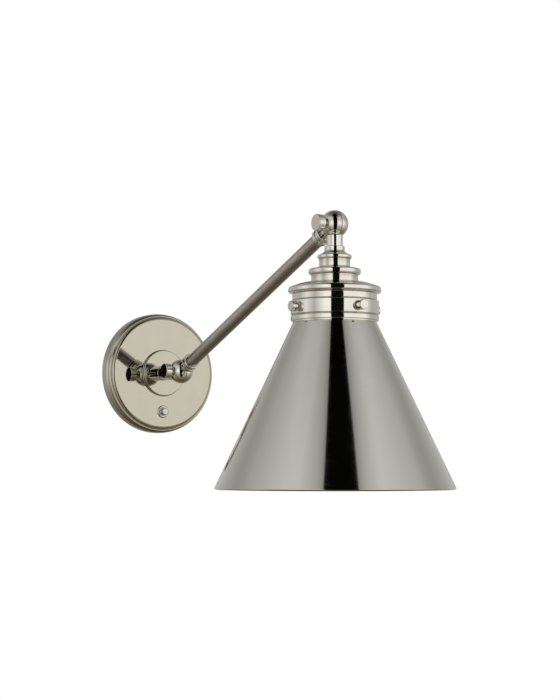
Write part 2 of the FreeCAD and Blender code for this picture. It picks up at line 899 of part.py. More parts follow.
def collar_screws():
    """Four thumb screws that hold the shade's neck in the collar, a quarter turn apart."""
    seat = SIZES["fitter_radius"]
    end = SIZES["screw_head_end"]
    start = SIZES["screw_tip"]
    round_edge = SIZES["screw_head_round"]
    neck_end = seat + SIZES["screw_neck_long"]

    def barrel(radius, low, high):
        return Part.makeCylinder(radius, high - low, FreeCAD.Vector(low, 0, 0), X_AXIS)

    shank = barrel(SIZES["screw_shank_radius"], start, seat)
    neck = barrel(SIZES["screw_neck_radius"], start, neck_end)
    head = barrel(SIZES["screw_head_radius"], neck_end, end)
    tall = SIZES["screw_head_radius"] * 3
    collar_face = Part.makeCylinder(seat, tall, FreeCAD.Vector(0, 0, tall / -2))
    rims = [edge for edge in head.Edges if len(edge.Vertexes) == 1]
    head = head.makeFillet(round_edge, rims)
    screw = shank.common(collar_face).fuse([neck.cut(collar_face), head]).removeSplitter()
    screws = []
    for quarter in range(4):
        turned_screw = screw.copy()
        turned_screw.translate(FreeCAD.Vector(0, 0, SIZES["screw_drop"]))
        turned_screw.rotate(FreeCAD.Vector(0, 0, 0), FreeCAD.Vector(0, 0, 1), 90 * quarter)
        screws.append(turned_screw.Solids[0])
    item = doc.addObject("Part::Feature", "collar_screws")
    item.Shape = Part.makeCompound(screws)
    keep(item, "collar_screws", HEAD)


# ---------------------------------------------------------------------------------------------
# Socket and bulb

def socket():
    """Screw-shell lamp holder: cap, outer shell, insulator, thread shell and centre contact."""
    bore = dim.nipple_radius + dim.thread_play
    radius, wall = dim.socket_radius, dim.socket_wall
    turned("socket_cap", HEAD, [
        (bore, dim.socket_top),
        (radius - 4, dim.socket_top),
        arc(4.2, -1),
        (radius, dim.socket_top + 4),
        (radius, dim.socket_cap_end),
        (radius - wall, dim.socket_cap_end),
        (radius - wall, dim.socket_top + 4.6),
        (bore, dim.socket_top + 3),
    ])
    turned("socket_shell", HEAD, [
        (radius - wall, dim.socket_cap_end),
        (radius, dim.socket_cap_end),
        (radius, dim.socket_end),
        (radius - wall, dim.socket_end),
    ])
    inner = dim.screw_shell_radius
    floor = dim.screw_shell_top
    turned("socket_insulator", HEAD, [
        (dim.cord_bore, dim.socket_cap_end),
        (radius - wall - 0.1, dim.socket_cap_end),
        (radius - wall - 0.1, dim.socket_end - 1),
        (inner, dim.socket_end - 1),
        (inner, floor),
        (dim.cord_bore, floor),
    ])
    turned("screw_shell", HEAD, [
        (dim.contact_radius + 2.2, floor),
        (inner, floor),
        (inner, dim.socket_end - 2),
        (dim.screw_shell_bore, dim.socket_end - 2),
        (dim.screw_shell_bore, floor + 0.6),
        (dim.contact_radius + 2.2, floor + 0.6),
    ])
    turned("centre_contact", HEAD, [
        (0, floor),
        (dim.contact_radius, floor),
        (dim.contact_radius, floor + 1),
        (1.6, dim.bulb_base_top - 0.2),
        (0, dim.bulb_base_top - 0.2),
    ])


def bulb():
    """Pear-shaped bulb: metal screw base and thin glass envelope."""
    base, top, glass = dim.bulb_base_radius, dim.bulb_base_top, dim.bulb_glass_top
    turned("bulb_base", HEAD, [
        (0, top),
        (4.5, top),
        (base - 2.5, top + 3),
        (base, top + 4),
        (base, glass),
        (base - 1, glass),
        (base - 1, top + 5),
        (0, top + 4),
    ])
    wall = dim.bulb_wall
    centre, radius = dim.bulb_centre, dim.bulb_radius
    turn = dim.bulb_shoulder_turn
    turned("bulb_glass", HEAD, [
        (base - 1.1, glass - 6),
        (base - 1.1, glass),
        arc(dim.bulb_shoulder_curve, 1),
        (radius * cosine(turn), centre - radius * sine(turn)),
        arc(radius, -1),
        (0, centre + radius),
        (0, centre + radius - wall),
        arc(radius - wall, 1),
        ((radius - wall) * cosine(turn), centre - (radius - wall) * sine(turn)),
        arc(dim.bulb_shoulder_curve, -1),
        (base - 1.1 - wall, glass),
        (base - 1.1 - wall, glass - 6),
    ])


# ---------------------------------------------------------------------------------------------
# The light

def build():
    back_plate()
    mounting_strap()
    ground_screw()
    pivot_depth = dim.wall_reach - dim.ball_radius
    nipple("wall_nipple", WALL, 0, pivot_depth)
    hex_nut("wall_lock_nut", WALL, dim.strap_thick, dim.nipple_radius, dim.nut_flats, dim.nut_tall)
    stem()
    wall_half_ball()
    cord_gap = dim.ball_radius + 1
    cord("wall_cord", WALL, 0.5, dim.wall_reach - cord_gap)
    canopy_switch()

    washer("wall_washer", (WALL_PIVOT, X_AXIS, length(0)))
    knob("wall_knob", WALL_KNOB)
    pivot_screw("wall_pivot_screw", WALL_KNOB)

    arm_half_ball("lower_arm_half_ball", ARM, dim.lower_collar_run)
    arm_collar("lower_arm_collar", ARM, dim.lower_collar_run)
    arm_tube()
    cord("arm_cord", ARM, cord_gap, dim.arm_length - cord_gap)
    arm_collar("upper_arm_collar", ARM_TOP, dim.upper_collar_run)
    arm_half_ball("upper_arm_half_ball", ARM_TOP, dim.upper_collar_run)

    washer("head_washer", (HEAD_PIVOT, X_AXIS, length(0)))
    knob("head_knob", HEAD_KNOB)
    pivot_screw("head_pivot_screw", HEAD_KNOB)

    head_half_ball()
    neck_ring()
    cap_tier("upper_cap_tier", dim.ring_end, dim.ring_radius - 0.2, dim.tier_one_shoulder,
             dim.tier_one_radius, dim.tier_one_band, dim.tier_one_end, dim.tier_one_edge)
    cap_tier("lower_cap_tier", dim.tier_one_end, dim.tier_one_band + 0.3, dim.tier_two_shoulder,
             dim.tier_two_radius, dim.tier_two_band, dim.tier_two_end, dim.tier_two_edge)
    fitter_collar()
    shade()
    collar_screws()
    nipple("head_nipple", HEAD, dim.ball_radius, dim.head_nipple_end)
    hex_nut("head_lock_nut", HEAD, dim.fitter_floor, dim.nipple_radius, dim.nut_flats, 3)
    cord("head_cord", HEAD, cord_gap, dim.socket_cap_end + 8)
    socket()
    bulb()


def check():
    """Stop if any object failed or any sub-part isn't a sound solid."""
    doc.recompute()
    for item in doc.Objects:
        if "Invalid" in item.State or "Error" in item.State:
            raise RuntimeError(f"{item.Label} failed: {item.State}")
    for item in parts:
        shape = item.Shape
        if shape.isNull() or not shape.isValid() or not shape.Solids:
            raise RuntimeError(f"{item.Label} is not a sound solid")


def export():
    os.makedirs("parts", exist_ok=True)
    for item in parts:
        item.Shape.exportStep(f"parts/{item.Label}.step")
        print(f"{item.Label:22s} {len(item.Shape.Solids)} solid(s) {item.Shape.Volume:10.1f} mm3")


build()
check()
export()
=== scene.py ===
"""Wall-mounted reading light in polished nickel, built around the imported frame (metres, row frame)."""

import json
import math

import bpy
import numpy as np
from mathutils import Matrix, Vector


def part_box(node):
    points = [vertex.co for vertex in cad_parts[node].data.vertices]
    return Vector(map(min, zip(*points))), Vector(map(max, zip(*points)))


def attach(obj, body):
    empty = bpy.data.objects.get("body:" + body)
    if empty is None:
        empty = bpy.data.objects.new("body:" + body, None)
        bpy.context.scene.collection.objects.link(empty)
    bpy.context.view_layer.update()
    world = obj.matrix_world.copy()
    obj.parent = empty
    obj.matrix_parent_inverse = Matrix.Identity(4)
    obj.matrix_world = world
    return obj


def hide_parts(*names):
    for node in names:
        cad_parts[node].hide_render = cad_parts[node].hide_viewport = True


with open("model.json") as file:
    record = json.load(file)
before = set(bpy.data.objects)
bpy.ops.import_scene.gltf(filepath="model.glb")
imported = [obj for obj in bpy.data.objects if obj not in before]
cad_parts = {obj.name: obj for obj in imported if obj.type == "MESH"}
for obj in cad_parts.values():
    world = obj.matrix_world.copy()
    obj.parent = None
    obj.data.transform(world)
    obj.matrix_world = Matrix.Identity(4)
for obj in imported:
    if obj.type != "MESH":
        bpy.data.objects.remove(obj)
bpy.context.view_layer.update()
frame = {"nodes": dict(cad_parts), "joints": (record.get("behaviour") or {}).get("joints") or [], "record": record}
NODES = frame["nodes"]
SLOTS = {part["node"]: part["material_slot"] for part in frame["record"]["subparts"]}
BODY_OF = {node: body for body, nodes in frame["record"]["behaviour"]["bodies"].items() for node in nodes}
JOINTS = {joint["name"]: joint for joint in frame["joints"]}
WALL_PIVOT = Vector(JOINTS["arm_pitch"]["pos_m"])
HEAD_PIVOT = Vector(JOINTS["shade_tilt"]["pos_m"])
OUT = Vector((0, -1, 0))
DOWN = Vector((0, 0, -1))
LEFT = Vector((-1, 0, 0))
ALONG_ARM = (HEAD_PIVOT - WALL_PIVOT).normalized()
MM = 0.001

scene = bpy.context.scene
scene.view_settings.view_transform = "Standard"
scene.view_settings.look = "None"


# Camera -------------------------------------------------------------------------------------

CAMERA_AT = (-0.861359, -1.655280, -0.098964)
CAMERA_YAW = math.radians(31.5821)
CAMERA_PITCH = math.radians(3.82904)
FRAME_TALL = 700
FOCAL_PIXELS = 1738.93
SENSOR_TALL = 36.0


def add_camera():
    data = bpy.data.cameras.new("camera")
    data.sensor_fit = "VERTICAL"
    data.sensor_height = SENSOR_TALL
    data.lens = FOCAL_PIXELS * SENSOR_TALL / FRAME_TALL
    data.clip_start = 0.01
    data.clip_end = 100.0
    camera = bpy.data.objects.new("camera", data)
    camera.location = CAMERA_AT
    camera.rotation_euler = (math.pi / 2 + CAMERA_PITCH, 0, -CAMERA_YAW)
    scene.collection.objects.link(camera)
    scene.camera = camera


# Node trees ---------------------------------------------------------------------------------

class Tree:
    """Short calls for building a node tree."""

    def __init__(self, owner):
        owner.use_nodes = True
        self.tree = owner.node_tree
        self.tree.nodes.clear()

    def node(self, kind, inputs=None, **settings):
        item = self.tree.nodes.new(kind)
        for name, value in settings.items():
            setattr(item, name, value)
        for name, value in (inputs or {}).items():
            self.feed(item.inputs[name], value)
        return item

    def feed(self, socket, value):
        if isinstance(value, bpy.types.NodeSocket):
            self.tree.links.new(value, socket)
        elif socket.type == "RGBA":
            socket.default_value = (*value, 1.0)
        else:
            socket.default_value = value

    def math(self, operation, a, b=0.0):
        return self.node("ShaderNodeMath", {0: a, 1: b}, operation=operation).outputs[0]

    def dot(self, a, b):
        return self.node("ShaderNodeVectorMath", {0: a, 1: b}, operation="DOT_PRODUCT").outputs["Value"]

    def across(self, a, b):
        """How far point a lies from the line through the origin along unit vector b."""
        item = self.node("ShaderNodeVectorMath", {0: a, 1: b}, operation="CROSS_PRODUCT")
        return self.node("ShaderNodeVectorMath", {0: item.outputs[0]}, operation="LENGTH").outputs["Value"]

    def ramp(self, value, stops):
        item = self.node("ShaderNodeValToRGB", {0: value})
        band = item.color_ramp
        band.interpolation = "LINEAR"
        band.elements.remove(band.elements[1])
        for index, (place, level) in enumerate(stops):
            element = band.elements[0] if index == 0 else band.elements.new(place)
            element.position = place
            colour = level if isinstance(level, tuple) else (level, level, level)
            element.color = (*colour, 1.0)
        return item.outputs[0]

    def span(self, value, low, high, to_low=0.0, to_high=1.0):
        inputs = {0: value, 1: low, 2: high, 3: to_low, 4: to_high}
        return self.node("ShaderNodeMapRange", inputs, clamp=True).outputs[0]

    def rise(self, height, low, high):
        """0 below one elevation and 1 above another, in degrees, from a direction's height."""
        return self.span(height, math.sin(math.radians(low)), math.sin(math.radians(high)))

    def mix(self, share, a, b, blend="MIX"):
        item = self.node("ShaderNodeMix", {0: share, 6: a, 7: b}, data_type="RGBA", blend_type=blend)
        return item.outputs[2]

    def noise(self, vector, scale, detail=3.0, roughness=0.55):
        inputs = {"Vector": vector, "Scale": scale, "Detail": detail, "Roughness": roughness}
        return self.node("ShaderNodeTexNoise", inputs).outputs["Fac"]

    def lines(self, along, pitch, detail=2.0):
        """One-dimensional noise: fine parallel lines about a pitch apart."""
        place = self.math("MULTIPLY", along, 1.0 / pitch)
        inputs = {"W": place, "Scale": 1.0, "Detail": detail}
        return self.node("ShaderNodeTexNoise", inputs, noise_dimensions="1D").outputs["Fac"]

    def bump(self, height, distance, strength):
        inputs = {"Height": height, "Distance": distance, "Strength": strength}
        return self.node("ShaderNodeBump", inputs).outputs[0]

    def surface(self, **inputs):
        """A Principled shader from keyword inputs, wired to the output."""
        named = {
            name.replace("_", " ").title().replace("Ior", "IOR"): value for name, value in inputs.items()
        }
        shader = self.node("ShaderNodeBsdfPrincipled", named)
        self.node("ShaderNodeOutputMaterial", {"Surface": shader.outputs[0]})


# Studio -------------------------------------------------------------------------------------

# Soft panels stand round the object, turned by FRONT to face the camera. AROUND gives their
# brightness by the angle from the front in degrees, right positive, and UPWARD its share by
# elevation. A dark gap between two panels stands in front; it closes near the floor and widens
# overhead.
FRONT = math.radians(33.4)
AROUND = (
    (-180, 0.5), (-110, 0.5), (-80, 0.9), (-55, 0.5), (-25, 1.1), (50, 1.0), (85, 1.05), (110, 0.5),
    (180, 0.5),
)
# One broad panel hangs above the others.
AROUND_HIGH = ((-180, 0.45), (-100, 0.65), (-45, 1.0), (50, 1.0), (110, 0.65), (180, 0.45))
HIGH_FROM = (25, 35)
UPWARD = (
    (-90, (0.15, 0.12, 0.08)), (-30, (0.45, 0.42, 0.35)), (-5, (0.95, 0.94, 0.90)), (10, 1.0), (25, 0.65),
    (45, 0.65), (60, 0.3), (90, 0.1),
)
GAP_CENTRE = 7.0
GAP_CLOSES_BELOW = (-66, -50)
GAP_HALF = ((-90, 16), (20, 17), (50, 21), (57, 21), (66, 45))
# High up, the panels fade towards the gap.
GAP_FADE = ((0, 0.55), (10, 0.8), (30, 1.0))
GAP_FADE_FROM = (25, 45)
GAP_LEVEL = 0.004
GAP_SOFT = 0.5
WIDEST = 45.0
FLOOR_DROP = 1.2
FLOOR_REACH = 4.2
ROOM_REACH = 14.0
ROOM_DROP = 3.0


def turn_share(degrees):
    return (degrees + 180) / 360


def rise_share(degrees):
    return (math.sin(math.radians(degrees)) + 1) / 2


def world_light():
    world = bpy.data.worlds.new("studio")
    scene.world = world
    t = Tree(world)
    direction = t.node("ShaderNodeTexCoord").outputs["Generated"]
    ahead = t.dot(direction, (-math.sin(FRONT), -math.cos(FRONT), 0))
    side = t.dot(direction, (math.cos(FRONT), -math.sin(FRONT), 0))
    height = t.dot(direction, (0, 0, 1))
    degrees = t.math("MULTIPLY", t.math("ARCTAN2", side, ahead), 180 / math.pi)
    up = t.span(height, -1.0, 1.0)
    level = t.ramp(t.span(degrees, -180.0, 180.0), [(turn_share(a), v) for a, v in AROUND])
    level_high = t.ramp(t.span(degrees, -180.0, 180.0), [(turn_share(a), v) for a, v in AROUND_HIGH])
    level = t.mix(t.rise(height, *HIGH_FROM), level, level_high)
    lift = t.ramp(up, [(rise_share(e), v) for e, v in UPWARD])
    light = t.mix(1.0, level, lift, "MULTIPLY")
    half = t.span(t.ramp(up, [(rise_share(e), v / WIDEST) for e, v in GAP_HALF]), 0.0, 1.0, 0.0, WIDEST)
    off = t.math("SUBTRACT", t.math("ABSOLUTE", t.math("SUBTRACT", degrees, GAP_CENTRE)), half)
    clear = t.span(off, -GAP_SOFT, GAP_SOFT, GAP_LEVEL, 1.0)
    reach = GAP_FADE[-1][0]
    fade = t.ramp(t.span(off, 0.0, reach), [(a / reach, v) for a, v in GAP_FADE])
    fade = t.mix(t.rise(height, *GAP_FADE_FROM), (1.0, 1.0, 1.0), fade)
    light = t.mix(1.0, light, fade, "MULTIPLY")
    below = t.math("SUBTRACT", 1.0, t.rise(height, *GAP_CLOSES_BELOW))
    clear = t.math("MAXIMUM", clear, below)
    light = t.node("ShaderNodeVectorMath", {0: light, "Scale": clear}, operation="SCALE").outputs[0]
    background = t.node("ShaderNodeBackground", {"Color": light, "Strength": 1.0})
    t.node("ShaderNodeOutputWorld", {"Surface": background.outputs[0]})


def stage_mesh(name, vertices, faces, material):
    mesh = bpy.data.meshes.new(name)
    mesh.from_pydata(vertices, [], faces)
    mesh.materials.append(material)
    item = bpy.data.objects.new(name, mesh)
    scene.collection.objects.link(item)
    return item


def backdrop():
    """A white room that only the camera sees, so that the object reflects the studio alone."""
    material = bpy.data.materials.new("backdrop_white")
    t = Tree(material)
    shader = t.node("ShaderNodeEmission", {"Color": (1.0, 1.0, 1.0), "Strength": 1.0})
    t.node("ShaderNodeOutputMaterial", {"Surface": shader.outputs[0]})
    size = ROOM_REACH
    corners = [(x, y, z) for x in (-size, size) for y in (-size, size) for z in (-ROOM_DROP, size)]
    faces = [(0, 1, 3, 2), (4, 6, 7, 5), (0, 4, 5, 1), (2, 3, 7, 6), (1, 5, 7, 3), (0, 2, 6, 4)]
    room = stage_mesh("backdrop", corners, faces, material)
    room.visible_diffuse = False
    room.visible_glossy = False
    room.visible_transmission = False
    room.visible_shadow = False


def floor():
    material = bpy.data.materials.new("floor_pale")
    t = Tree(material)
    place = t.node("ShaderNodeTexCoord").outputs["Object"]
    colour = t.mix(t.noise(place, 6.0), (0.86, 0.86, 0.85), (0.90, 0.90, 0.89))
    t.surface(base_color=colour, roughness=0.85)
    reach = FLOOR_REACH
    ends = ((-reach, -reach), (reach, -reach), (reach, reach), (-reach, reach))
    corners = [(x, y, -FLOOR_DROP) for x, y in ends]
    ground = stage_mesh("floor", corners, [(0, 1, 2, 3)], material)
    ground.visible_glossy = False


def soft_light(name, place, size, watts, aim):
    """A large soft lamp that lights matt surfaces; polished ones reflect the studio panels."""
    data = bpy.data.lights.new(name, "AREA")
    data.size = size
    data.energy = watts
    light = bpy.data.objects.new(name, data)
    light.location = place
    light.rotation_euler = (Vector(aim) - Vector(place)).to_track_quat("-Z", "Y").to_euler()
    light.visible_glossy = False
    light.visible_camera = False
    scene.collection.objects.link(light)


def studio():
    world_light()
    backdrop()
    floor()
    middle = (0, -0.2, 0)
    soft_light("key", (-1.6, -2.4, 1.9), 1.6, 36.0, middle)
    soft_light("fill", (2.2, -1.6, 1.2), 1.6, 18.0, middle)
    soft_light("back", (0.5, 2.6, 1.6), 2.0, 30.0, middle)
    soft_light("overhead", (0, -0.2, 5.0), 5.0, 300.0, middle)


# Turned pieces ------------------------------------------------------------------------------

PROBE_TURN = math.radians(52.3)
MERGE_STEP = 1e-6
SAME = 4e-6
REPEATED = 4 * SAME
STRAIGHT = 0.002
CORNER_TURN = math.radians(18)
CORNER_RADIUS = 0.28 * MM
CORNER_MARGIN = 0.55 * MM
CORNER_STEPS = 3
CORNER_SHARE = 0.45
MARGIN_FROM = 1.5
SEGMENTS = 128
FINER_SEGMENTS = {"shade": 256, "fitter_collar": 192}


class Axis:
    """The line that a piece is turned about, and the direction that its angles count from."""

    def __init__(self, base, direction):
        self.base = base
        self.direction = direction.normalized()
        start = Vector((0, 0, 1)) if abs(direction.x) > 0.9 else Vector((1, 0, 0))
        self.start = start
        self.side = self.direction.cross(start)

    def measure(self, points):
        """Distances from the axis, heights along it, and places along and across the probe plane."""
        away = points - np.array(self.base)
        height = away @ np.array(self.direction)
        x, y = away @ np.array(self.start), away @ np.array(self.side)
        ahead = x * math.cos(PROBE_TURN) + y * math.sin(PROBE_TURN)
        offset = y * math.cos(PROBE_TURN) - x * math.sin(PROBE_TURN)
        return np.hypot(x, y), height, ahead, offset

    def point(self, radius, height, angle):
        return (self.base + self.direction * height
                + self.start * (radius * math.cos(angle)) + self.side * (radius * math.sin(angle)))


def section(node, axis):
    """The outline that a CAD node was turned from: (radius, height) points, read from its mesh.

    A half plane through the axis cuts the mesh. Where it crosses an edge that runs round the axis,
    the outline has a point.
    """
    mesh = NODES[node].data
    mesh.calc_loop_triangles()
    points = np.zeros(len(mesh.vertices) * 3)
    mesh.vertices.foreach_get("co", points)
    points = points.reshape(-1, 3)
    radius, height, ahead, offset = axis.measure(points)
    names = {}
    keys = np.round(points / MERGE_STEP)
    merged = [names.setdefault(tuple(key), index) for index, key in enumerate(keys)]
    crossings = {}
    ends = {}
    for triangle in mesh.loop_triangles:
        corners = [merged[v] for v in triangle.vertices]
        cut = []
        for a, b in ((corners[0], corners[1]), (corners[1], corners[2]), (corners[2], corners[0])):
            if (offset[a] >= 0) == (offset[b] >= 0):
                continue
            share = offset[a] / (offset[a] - offset[b])
            if ahead[a] + (ahead[b] - ahead[a]) * share > SAME:
                cut.append((min(a, b), max(a, b)))
        if len(cut) == 2 and cut[0] != cut[1]:
            crossings.setdefault(cut[0], []).append(cut[1])
            crossings.setdefault(cut[1], []).append(cut[0])
        elif len(cut) == 1:
            crossings.setdefault(cut[0], [])
            ends[cut[0]] = min((radius[v], height[v]) for v in corners)[1]
    tips = [edge for edge, near in crossings.items() if len(near) == 1]
    here = tips[0] if tips else next(iter(crossings))
    opening = [(0.0, ends[here])] if here in ends else []
    outline = []
    seen = set()
    while here is not None:
        seen.add(here)
        a, b = here
        if abs(radius[a] - radius[b]) < SAME and abs(height[a] - height[b]) < SAME:
            outline.append((float(radius[a] + radius[b]) / 2, float(height[a] + height[b]) / 2))
        last = here
        here = next((edge for edge in crossings[last] if edge not in seen), None)
    closing = [(0.0, ends[last])] if tips and last in ends else []
    return straighten(opening + outline + closing)


def straighten(outline):
    """Leave out points that repeat or lie on the straight line between their neighbours."""
    kept = []
    for point in outline:
        if not kept or math.dist(kept[-1], point) > REPEATED:
            kept.append(point)
    if math.dist(kept[0], kept[-1]) < REPEATED:
        kept.pop()
    result = []
    for index, point in enumerate(kept):
        before, after = kept[index - 1], kept[(index + 1) % len(kept)]
        one = (point[0] - before[0], point[1] - before[1])
        two = (after[0] - point[0], after[1] - point[1])
        bend = abs(one[0] * two[1] - one[1] * two[0]) / math.hypot(*one) / math.hypot(*two)
        if bend > STRAIGHT or point[0] == 0.0:
            result.append(point)
    return result


def soften(outline):
    """Give each sharp corner a small round edge. Returns (radius, height, edge) points.

    edge is 1 on an outside corner, -1 in an inside one and 0 elsewhere.
    """
    count = len(outline)
    area = sum(outline[i - 1][0] * outline[i][1] - outline[i][0] * outline[i - 1][1] for i in range(count))
    result = []
    for index, point in enumerate(outline):
        here = Vector(point)
        back = Vector(outline[index - 1]) - here
        on = Vector(outline[(index + 1) % count]) - here
        turn = math.atan2(-back.x * on.y + back.y * on.x, -back.dot(on))
        if abs(turn) < CORNER_TURN or point[0] == 0.0:
            result.append((*point, 0.0))
            continue
        edge = 1.0 if turn * area > 0 else -1.0
        room = min(back.length, on.length) * CORNER_SHARE
        reach = min(CORNER_RADIUS, room)
        margin = min(CORNER_MARGIN, room)
        first, last = here + back.normalized() * reach, here + on.normalized() * reach
        if margin > reach * MARGIN_FROM:
            result.append((*(here + back.normalized() * margin), 0.0))
        for step in range(CORNER_STEPS + 1):
            s = step / CORNER_STEPS
            spot = first * (1 - s) ** 2 + here * (2 * s * (1 - s)) + last * s ** 2
            result.append((*spot, edge * (0.5 + 2 * s * (1 - s))))
        if margin > reach * MARGIN_FROM:
            result.append((*(here + on.normalized() * margin), 0.0))
    return result


def outline_normals(outline):
    """A unit normal at each outline point, away from the material, weighted by length."""
    count = len(outline)
    area = sum(outline[i - 1][0] * outline[i][1] - outline[i][0] * outline[i - 1][1] for i in range(count))
    outward = 1 if area > 0 else -1
    sides = []
    for index in range(count):
        a, b = outline[index], outline[(index + 1) % count]
        sides.append(Vector((b[1] - a[1], a[0] - b[0])) * outward)
    return [(sides[index - 1] + sides[index]).normalized() for index in range(count)]


def lathe(name, axis, outline, segments):
    """A closed mesh turned from an outline, with true normals and two point attributes.

    along is the distance round the outline in metres and edge is the corner value from soften.
    """
    normals = outline_normals(outline)
    angles = [2 * math.pi * k / segments for k in range(segments)]
    vertices, shading, along, edges, rings = [], [], [], [], []
    distance = 0.0
    for index, (radius, height, edge) in enumerate(outline):
        if index:
            distance += math.dist(outline[index - 1][:2], (radius, height))
        out, rise = normals[index]
        on_axis = radius == 0.0
        rings.append((len(vertices), on_axis))
        for angle in angles[:1] if on_axis else angles:
            vertices.append(axis.point(radius, height, angle))
            across = axis.start * math.cos(angle) + axis.side * math.sin(angle)
            if on_axis:
                shading.append(axis.direction * math.copysign(1, rise))
            else:
                shading.append(across * out + axis.direction * rise)
            along.append(distance)
            edges.append(edge)
    faces = []
    for index, (first, first_on_axis) in enumerate(rings):
        second, second_on_axis = rings[(index + 1) % len(rings)]
        for k in range(segments):
            n = (k + 1) % segments
            corners = [first if first_on_axis else first + k, second if second_on_axis else second + k,
                       second if second_on_axis else second + n, first if first_on_axis else first + n]
            corners = list(dict.fromkeys(corners))
            if len(corners) > 2:
                faces.append(corners)
    mesh = bpy.data.meshes.new(name)
    mesh.from_pydata(vertices, [], faces)
    if sum(p.normal.dot(shading[p.vertices[0]]) * p.area for p in mesh.polygons) < 0:
        mesh.flip_normals()
    mesh.polygons.foreach_set("use_smooth", [True] * len(mesh.polygons))
    mesh.normals_split_custom_set_from_vertices(shading)
    for key, values in (("along", along), ("edge", edges)):
        mesh.attributes.new(key, "FLOAT", "POINT").data.foreach_set("value", values)
    item = bpy.data.objects.new(name, mesh)
    scene.collection.objects.link(item)
    return item


def turn_piece(node, axis):
    """Replace a turned CAD node with a finer piece of the same outline."""
    segments = FINER_SEGMENTS.get(node, SEGMENTS)
    piece = lathe(node + "_turned", axis, soften(section(node, axis)), segments)
    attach(piece, BODY_OF[node])
    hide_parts(node)
    return piece


# Materials ----------------------------------------------------------------------------------

NICKEL = (0.80, 0.775, 0.70)
# Outside corners are lightened to this colour: partly rubbed wear, partly painted highlight.
NICKEL_WORN_AND_LIT = (0.86, 0.84, 0.78)
# Painted shade: the warm dark colour that inside corners and grooves are darkened towards.
NICKEL_CREASE_SHADE = (0.33, 0.30, 0.22)
NICKEL_PLATE = (0.57, 0.53, 0.44)
POLISHED_ROUGH = 0.055


def attribute(t, name):
    return t.node("ShaderNodeAttribute", attribute_name=name).outputs["Fac"]


def object_place(t, base=(0, 0, 0)):
    place = t.node("ShaderNodeTexCoord").outputs["Object"]
    return t.node("ShaderNodeVectorMath", {0: place, 1: tuple(base)}, operation="SUBTRACT").outputs[0]


def new_material(name):
    """A material, its node tree and the place on the object."""
    material = bpy.data.materials.new(name)
    t = Tree(material)
    return material, t, object_place(t)


def turned_metal(name, colour, worn_and_lit, crease_shade_colour, rough, line_pitch=0.9 * MM, line_depth=0.0000012, along=None):
    """Polished, turned metal: fine lines round the piece, lighter outside corners (partly rubbed wear, partly
    painted highlight) and painted shade in its grooves.
    """
    material, t, place = new_material(name)
    distance = attribute(t, "along") if along is None else along(t)
    lines = t.lines(distance, line_pitch)
    cloud = t.noise(place, 55.0)
    specks = t.noise(place, 700.0, 2.0)
    base = t.mix(t.span(cloud, 0.3, 0.7), tuple(c * 0.975 for c in colour), tuple(c * 1.015 for c in colour))
    if along is None:
        edge = attribute(t, "edge")
        # Painted shade: inside corners darken towards the crease-shade colour, made patchy by a noise cloud.
        crease_shade_mask = t.math("MULTIPLY", t.span(edge, -0.1, -1.0), t.span(cloud, 0.2, 0.6, 0.65, 1.0))
        # Outside corners lighten: partly rubbed wear, partly painted highlight.
        rub_and_highlight = t.math("MULTIPLY", t.span(edge, 0.1, 1.0), t.span(cloud, 0.75, 0.35, 0.4, 1.0))
        base = t.mix(crease_shade_mask, base, crease_shade_colour)
        base = t.mix(rub_and_highlight, base, worn_and_lit)
    wear = t.math("ADD", t.span(lines, 0.3, 0.7, -0.012, 0.012), t.span(cloud, 0.3, 0.7, -0.015, 0.02))
    haze = t.span(specks, 0.62, 0.80, 0.0, 0.05)
    roughness = t.math("ADD", t.math("ADD", wear, rough), haze)
    normal = t.bump(lines, line_depth, 0.5)
    t.surface(base_color=base, metallic=1.0, roughness=roughness, normal=normal)
    return material


def from_axis(base, direction):
    """A coordinate that grows outwards from an axis, for a flat turned face."""
    return lambda t: t.across(object_place(t, base), tuple(direction))


def down_axis(base, direction):
    """A coordinate that grows along an axis, for a turned side."""
    return lambda t: t.dot(object_place(t, base), tuple(direction))


def satin_metal(name, colour, rough, direction):
    """Drawn tube: a fine grain that runs along it, with faint handling marks."""
    material, t, place = new_material(name)
    run = t.dot(place, tuple(direction))
    shift = t.node("ShaderNodeVectorMath", {0: tuple(direction), "Scale": run}, operation="SCALE").outputs[0]
    flat = t.node("ShaderNodeVectorMath", {0: place, 1: shift}, operation="SUBTRACT").outputs[0]
    drawn = t.node("ShaderNodeVectorMath", {0: shift, "Scale": 0.03}, operation="SCALE").outputs[0]
    stretched = t.node("ShaderNodeVectorMath", {0: flat, 1: drawn}, operation="ADD").outputs[0]
    grain = t.noise(stretched, 1400.0, 4.0, 0.7)
    marks = t.noise(place, 260.0, 4.0, 0.7)
    cloud = t.noise(place, 30.0)
    shade_of = t.math("ADD", t.math("MULTIPLY", grain, 0.5), t.math("MULTIPLY", marks, 0.5))
    dark, pale = (tuple(c * share for c in colour) for share in (0.80, 1.16))
    base = t.mix(t.span(shade_of, 0.35, 0.65), dark, pale)
    base = t.mix(t.span(cloud, 0.4, 0.75, 0.0, 0.3), base, (0.50, 0.42, 0.30))
    roughness = t.span(shade_of, 0.35, 0.65, rough - 0.06, rough + 0.08)
    t.surface(base_color=base, metallic=1.0, roughness=roughness, normal=t.bump(grain, 0.00002, 0.35))
    return material


def enamel(name, colour):
    """Sprayed white enamel: slightly uneven, with a fine orange peel."""
    material, t, place = new_material(name)
    cloud = t.noise(place, 25.0)
    peel = t.noise(place, 900.0, 2.0)
    base = t.mix(cloud, tuple(c * 0.96 for c in colour), colour)
    roughness = t.span(cloud, 0.3, 0.7, 0.28, 0.38)
    t.surface(base_color=base, roughness=roughness, normal=t.bump(peel, 0.00003, 0.3))
    return material


